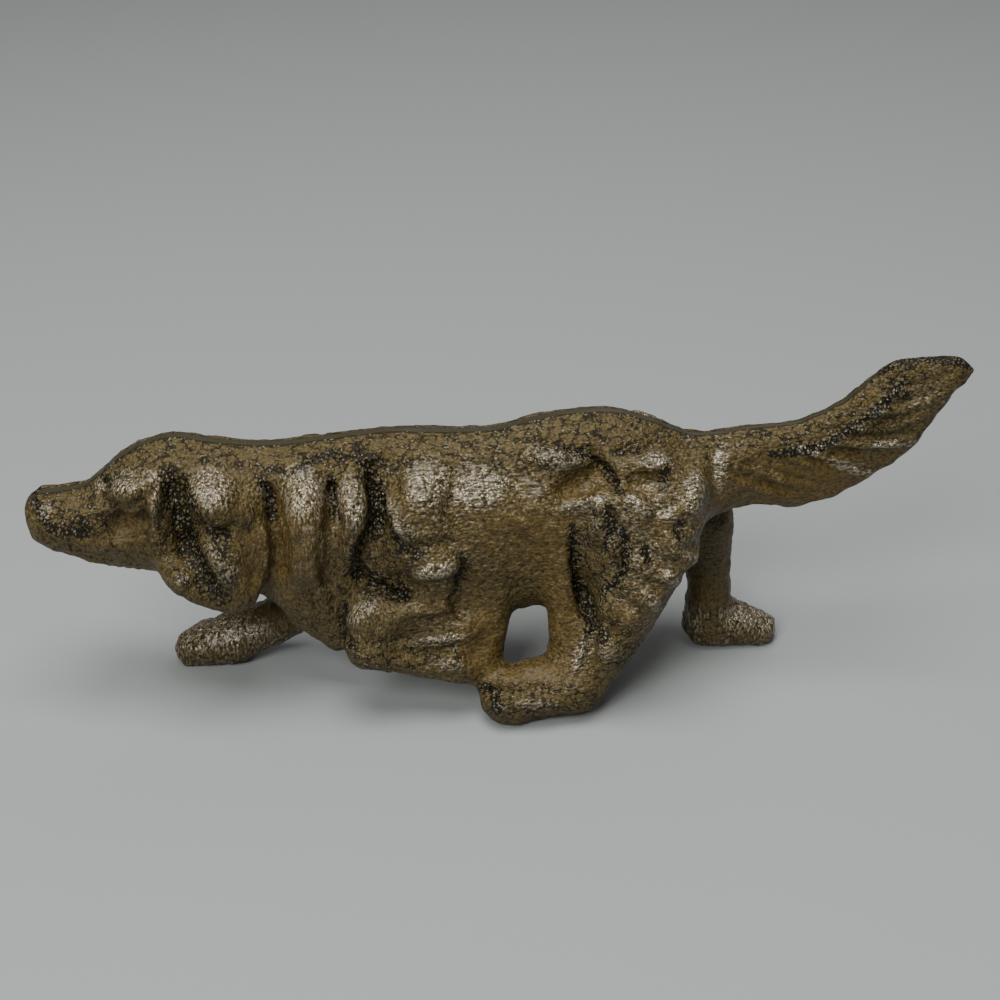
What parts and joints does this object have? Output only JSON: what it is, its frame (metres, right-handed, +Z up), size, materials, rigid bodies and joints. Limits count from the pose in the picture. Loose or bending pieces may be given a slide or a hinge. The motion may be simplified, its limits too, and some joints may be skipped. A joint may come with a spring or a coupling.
{
  "type": "dog statue",
  "caption": "Small cast iron setter in a low stalking stride, head down and tail out, one foreleg folded clear of the ground.",
  "frame": {"origin": "middle of the bounding box, on the floor the three paws stand on", "axes": "+X from the head towards the tail, +Z up, -Y towards the side with the folded foreleg"},
  "size_m": [0.1804, 0.037, 0.0698],
  "materials": {
    "painted_iron": "worn olive-brown satin paint over black on sand-cast iron"
  },
  "bodies": {
    "root": {"dog": "painted_iron"}
  },
  "joints": []
}
